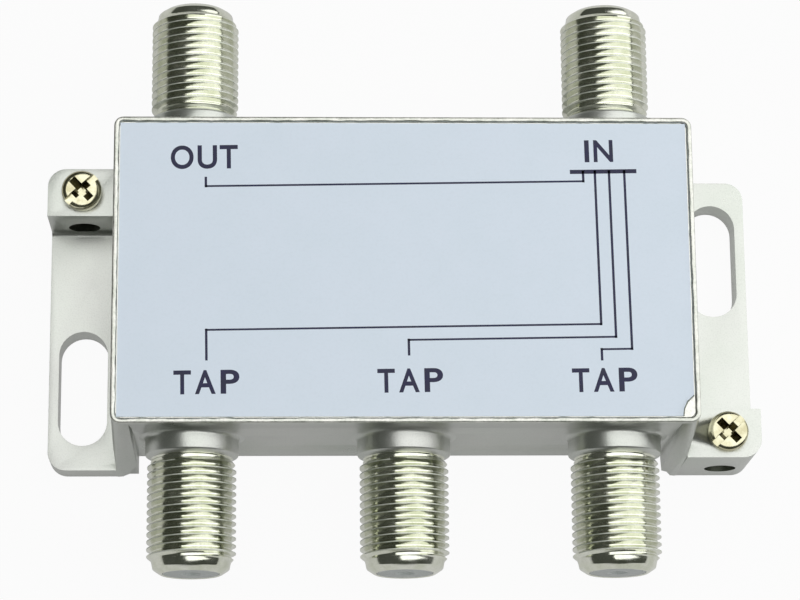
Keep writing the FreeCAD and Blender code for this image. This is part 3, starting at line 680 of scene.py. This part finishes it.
def torn_label():
    """Printed film with its lower right corner torn off and the torn edge curled up."""
    bm = bmesh.new()
    size = label_high - label_low
    bmesh.ops.create_grid(bm, x_segments=60, y_segments=32, size=0.5)
    bmesh.ops.scale(bm, vec=(size.x, size.y, 1), verts=bm.verts)
    corner = Vector((label_high.x, label_low.y))
    near = [
        edge for edge in bm.edges
        if all((vert.co.xy - corner).length < FINE_MESH_REACH for vert in edge.verts)
    ]
    bmesh.ops.subdivide_edges(bm, edges=near, cuts=3, use_grid_fill=True)
    tears = []
    for start, end in zip(TEAR_POINTS, TEAR_POINTS[1:]):
        start, along = Vector(start), Vector(end) - Vector(start)
        off = Vector((-along.y, along.x)).normalized()
        tears.append((start, off))
        for inset in (0, TORN_EDGE):
            bmesh.ops.bisect_plane(
                bm, geom=list(bm.verts) + list(bm.edges) + list(bm.faces),
                plane_co=(*(start - off * inset), 0), plane_no=(*off, 0), dist=0.001,
            )

    def beyond(point):
        return min((point.xy - start).dot(off) for start, off in tears)

    torn = [face for face in bm.faces if beyond(face.calc_center_median()) > 0]
    bmesh.ops.delete(bm, geom=torn, context="FACES")
    film = label_high.z - label_low.z
    thick = bmesh.ops.extrude_face_region(bm, geom=list(bm.faces))["geom"]
    raised = [item for item in thick if isinstance(item, bmesh.types.BMVert)]
    bmesh.ops.translate(bm, vec=(0, 0, film), verts=raised)
    bmesh.ops.translate(bm, vec=(0, 0, label_low.z), verts=bm.verts)
    for vert in bm.verts:
        distance = -beyond(vert.co)
        in_corner = vert.co.x > TORN_CORNER.x and vert.co.y < TORN_CORNER.y
        if distance < CURL_REACH and in_corner:
            lift = (1 - max(distance, 0) / CURL_REACH) ** 2
            ragged = 0.6 + 0.4 * noise.noise(vert.co * 5)
            vert.co.z = min(vert.co.z + CURL_HEIGHT * lift * ragged, RIM_TOP)
    bmesh.ops.recalc_face_normals(bm, faces=bm.faces)
    # Painted shadow: the band of film along the tear takes the dark finish, for the shadow of its
    # curl
    for face in bm.faces:
        if beyond(face.calc_center_median()) > 0.01 - TORN_EDGE:
            face.material_index = 1
    label = add_piece("torn_label", bm, (label_film, torn_edge_painted_shade_film))
    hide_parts("label")


def on_label():
    """From the print's own level coordinates to its slightly turned place on the label."""
    turn = Matrix.Rotation(math.radians(PRINT_TURN), 4, "Z")
    return Matrix.Translation((0, 0, LABEL_TOP)) @ turn


# Where each letter starts and ends, as shares of its word's width
LETTER_SPANS = {
    "OUT": ((0, 0.34), (0.4, 0.69), (0.73, 1)),
    "IN": ((0, 0.165), (0.32, 1)),
    "TAP": ((0, 0.267), (0.325, 0.64), (0.715, 1)),
}


# Name, word, place of its middle in the print's coordinates, width and height
LABEL_WORDS = (
    ("word_out", "OUT", (-21.0, 12.47), 7.1, 2.6),
    ("word_in", "IN", (20.96, 12.58), 3.05, 2.45),
    ("word_tap_1", "TAP", (-20.97, -11.98), 6.85, 2.55),
    ("word_tap_2", "TAP", (0.25, -12.14), 6.85, 2.55),
    ("word_tap_3", "TAP", (20.6, -12.41), 6.85, 2.55),
)


def printed_letter(letter, left, right, height):
    """A bold capital's mesh in millimetres, fitted between left and right."""
    curve = bpy.data.curves.new("letter", "FONT")
    curve.body = letter
    curve.offset = 0.02
    curve.extrude = 0.001
    text = bpy.data.objects.new("letter", curve)
    bpy.context.scene.collection.objects.link(text)
    graph = bpy.context.evaluated_depsgraph_get()
    bm = bmesh.new()
    bm.from_mesh(bpy.data.meshes.new_from_object(text.evaluated_get(graph)))
    bpy.data.objects.remove(text)
    corners = [Vector(map(side, zip(*(vert.co for vert in bm.verts)))) for side in (min, max)]
    size = corners[1] - corners[0]
    bmesh.ops.translate(bm, vec=-(corners[0] + corners[1]) / 2, verts=bm.verts)
    fit = ((right - left) / size.x, height / size.y, INK_THICKNESS / size.z)
    bmesh.ops.scale(bm, vec=fit, verts=bm.verts)
    bmesh.ops.translate(bm, vec=((left + right) / 2, 0, INK_THICKNESS / 2), verts=bm.verts)
    bmesh.ops.remove_doubles(bm, verts=bm.verts, dist=0.002)
    mesh = bpy.data.meshes.new("letter")
    bm.to_mesh(mesh)
    bm.free()
    return mesh


def printed_word(name, word, middle, width, height):
    """A word in bold capitals, each as wide as it is on the label."""
    bm = bmesh.new()
    for letter, (left, right) in zip(word, LETTER_SPANS[word]):
        bm.from_mesh(printed_letter(letter, (left - 0.5) * width, (right - 0.5) * width, height))
    bmesh.ops.translate(bm, vec=(*middle, 0), verts=bm.verts)
    bmesh.ops.transform(bm, matrix=on_label(), verts=bm.verts)
    add_piece(name, bm, print_ink)


def printed_stroke(bm, start, end, width):
    """A straight stroke of ink between two points, square at its ends."""
    start, end = Vector(start), Vector(end)
    along = end - start
    verts = bmesh.ops.create_cube(bm, size=1)["verts"]
    length = along.length + width
    bmesh.ops.scale(bm, vec=(length, width, INK_THICKNESS), verts=verts)
    turn = Matrix.Rotation(math.atan2(along.y, along.x), 3, "Z")
    bmesh.ops.rotate(bm, verts=verts, matrix=turn)
    bmesh.ops.translate(bm, vec=(*((start + end) / 2), INK_THICKNESS / 2), verts=verts)


def line_diagram():
    """Bar under IN with a line to OUT and one to each of the three taps."""
    bm = bmesh.new()
    bar_height, bar_width = 10.3, 0.46
    bar_left, bar_right = 18.03, 24.68
    line_width, fine_width = 0.26, 0.21
    through_start, through_end, through_level, through_foot = 19.2, -20.86, 9.25, 10.15
    printed_stroke(bm, (bar_left, bar_height), (bar_right, bar_height), bar_width)
    printed_stroke(bm, (through_start, bar_height), (through_start, through_level), line_width)
    printed_stroke(bm, (through_start, through_level), (through_end, through_level), fine_width)
    printed_stroke(bm, (through_end, through_level), (through_end, through_foot), line_width)
    tap_lines = (
        (20.46, -6.4, -20.95, -9.55), (21.97, -7.8, 0.19, -9.35), (23.6, -9.12, 20.4, -10.2),
    )
    for right, level, left, foot in tap_lines:
        printed_stroke(bm, (right, bar_height), (right, level), line_width)
        printed_stroke(bm, (right, level), (left, level), fine_width)
        printed_stroke(bm, (left, level), (left, foot), line_width)
    bmesh.ops.transform(bm, matrix=on_label(), verts=bm.verts)
    add_piece("line_diagram", bm, print_ink)


# Parts that keep their solids: the start of their names, and their finish

CARRIED_FINISHES = {
    "cover_plate": tinned_steel,
    "insulator": white_plastic,
    "contact": contact_bronze,
    "circuit_board": board_laminate,
    "coupler_core": ferrite,
    "splitter_core": ferrite,
    "coupler_winding": enamelled_copper,
    "splitter_winding": enamelled_copper,
    "capacitor": capacitor_ceramic,
    "resistor": resistor_ceramic,
}


def finish_carried_parts():
    """Gives each solid that stays as it is its own finish."""
    for name, node in frame["nodes"].items():
        for stem, finish in CARRIED_FINISHES.items():
            if name.startswith(stem):
                for place in node.material_slots:
                    place.material = finish


# Floor, light and camera

FLOOR_HALF_WIDTH = 4.0
FLOOR_DROP = 0.0001
FLOOR_GREY = 0.5
WHITE_SEEN = 0.95
WHITE_MIRRORED = 0.42


def joined(tree, operation, first, second):
    """Sum or product of a socket and another socket or number."""
    node = tree.nodes.new("ShaderNodeMath")
    node.operation = operation
    tree.links.new(first, node.inputs[0])
    if isinstance(second, float):
        node.inputs[1].default_value = second
    else:
        tree.links.new(second, node.inputs[1])
    return node.outputs["Value"]


def floor_sheet():
    """White where the camera sees it, dimmer in the metal and grey to the light."""
    sheet = bpy.data.materials.new("floor_sheet")
    sheet.use_nodes = True
    tree = sheet.node_tree
    tree.nodes.clear()
    output = tree.nodes.new("ShaderNodeOutputMaterial")
    lit = tree.nodes.new("ShaderNodeBsdfDiffuse")
    lit.inputs["Color"].default_value = (FLOOR_GREY, FLOOR_GREY, FLOOR_GREY, 1)
    white = tree.nodes.new("ShaderNodeEmission")
    blend = tree.nodes.new("ShaderNodeMixShader")
    ray = tree.nodes.new("ShaderNodeLightPath").outputs
    mirrored = joined(tree, "ADD", ray["Is Glossy Ray"], ray["Is Transmission Ray"])
    dimmed = joined(tree, "MULTIPLY", mirrored, WHITE_MIRRORED)
    seen = joined(tree, "MULTIPLY", ray["Is Camera Ray"], WHITE_SEEN)
    tree.links.new(joined(tree, "ADD", seen, dimmed), blend.inputs["Fac"])
    tree.links.new(lit.outputs["BSDF"], blend.inputs[1])
    tree.links.new(white.outputs["Emission"], blend.inputs[2])
    tree.links.new(blend.outputs["Shader"], output.inputs["Surface"])
    return sheet


def studio_floor():
    """White sheet that keeps the object's shadow and shows, dimmed, in the metal."""
    mesh = bpy.data.meshes.new("floor")
    bm = bmesh.new()
    bmesh.ops.create_grid(bm, x_segments=1, y_segments=1, size=FLOOR_HALF_WIDTH)
    bmesh.ops.translate(bm, vec=(0, 0, -FLOOR_DROP), verts=bm.verts)
    bm.to_mesh(mesh)
    bm.free()
    floor = bpy.data.objects.new("floor", mesh)
    bpy.context.scene.collection.objects.link(floor)
    mesh.materials.append(floor_sheet())


SOFTBOX_PLACE = Vector((0.283, 0.12, 0.508))
SOFTBOX_WIDTH, SOFTBOX_LENGTH = 0.9, 1.6
SOFTBOX_WATTS = 7.1
ROOM_COLOUR = (0.30, 0.32, 0.28)
ROOM_STRENGTH = 0.22


def overhead_softbox():
    """One soft lamp above and to the right that faces the middle of the box."""
    lamp = bpy.data.lights.new("overhead_softbox", "AREA")
    lamp.shape = "RECTANGLE"
    lamp.size, lamp.size_y = SOFTBOX_WIDTH, SOFTBOX_LENGTH
    lamp.energy = SOFTBOX_WATTS
    box = bpy.data.objects.new("overhead_softbox", lamp)
    bpy.context.scene.collection.objects.link(box)
    box.location = SOFTBOX_PLACE
    box.rotation_euler = (-SOFTBOX_PLACE).to_track_quat("-Z", "Y").to_euler()
    box.visible_camera = False


def dim_room():
    """Faint light from all round, as from a studio's dark walls."""
    world = bpy.data.worlds.new("studio")
    bpy.context.scene.world = world
    world.use_nodes = True
    background = world.node_tree.nodes["Background"]
    background.inputs["Color"].default_value = (*ROOM_COLOUR, 1)
    background.inputs["Strength"].default_value = ROOM_STRENGTH


# Camera, in millimetres and degrees, fitted to edges measured in the photograph
CAMERA_PLACE = Vector((-11.96, -78.41, 311.65))
CAMERA_TILT, CAMERA_SWING, CAMERA_ROLL = 14.2936, -2.2202, -0.534
FOCAL_LENGTH = 130.1


def studio_camera():
    """Camera at the photograph's place, above the label and a little to the tap side."""
    lens = bpy.data.cameras.new("camera")
    lens.sensor_width = 36
    lens.lens = FOCAL_LENGTH
    camera = bpy.data.objects.new("camera", lens)
    bpy.context.scene.collection.objects.link(camera)
    camera.matrix_world = (
        Matrix.Translation(CAMERA_PLACE * MM)
        @ Matrix.Rotation(math.radians(CAMERA_SWING), 4, "Y")
        @ Matrix.Rotation(math.radians(CAMERA_TILT), 4, "X")
        @ Matrix.Rotation(math.radians(CAMERA_ROLL), 4, "Z")
    )
    bpy.context.scene.camera = camera


# The whole tap. A gusset's step is the top of the ear or block beside it.

EAR_THICKNESS = MOUNTS["left_mounting_slot"]["pos_m"][2] / MM
BLOCK_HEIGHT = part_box("right_earthing_screw")[1].z / MM - HEAD_HEIGHT

dress_casting()
corner_gusset("left", EAR_THICKNESS, toe=30.78)
corner_gusset("right", BLOCK_HEIGHT, toe=30.08)
rolled_rim()
port_shape = turned_barrel()
for port_name, port_place in PORTS.items():
    port_barrel(port_name, port_place, port_shape)
port_shape.free()
for side in ("left", "right"):
    earthing_screw(side, f"{side}_screw")
torn_label()
for name, word, middle, width, height in LABEL_WORDS:
    printed_word(name, word, middle, width, height)
line_diagram()
finish_carried_parts()
studio_floor()
overhead_softbox()
dim_room()
studio_camera()
bpy.context.scene.view_settings.view_transform = "Standard"
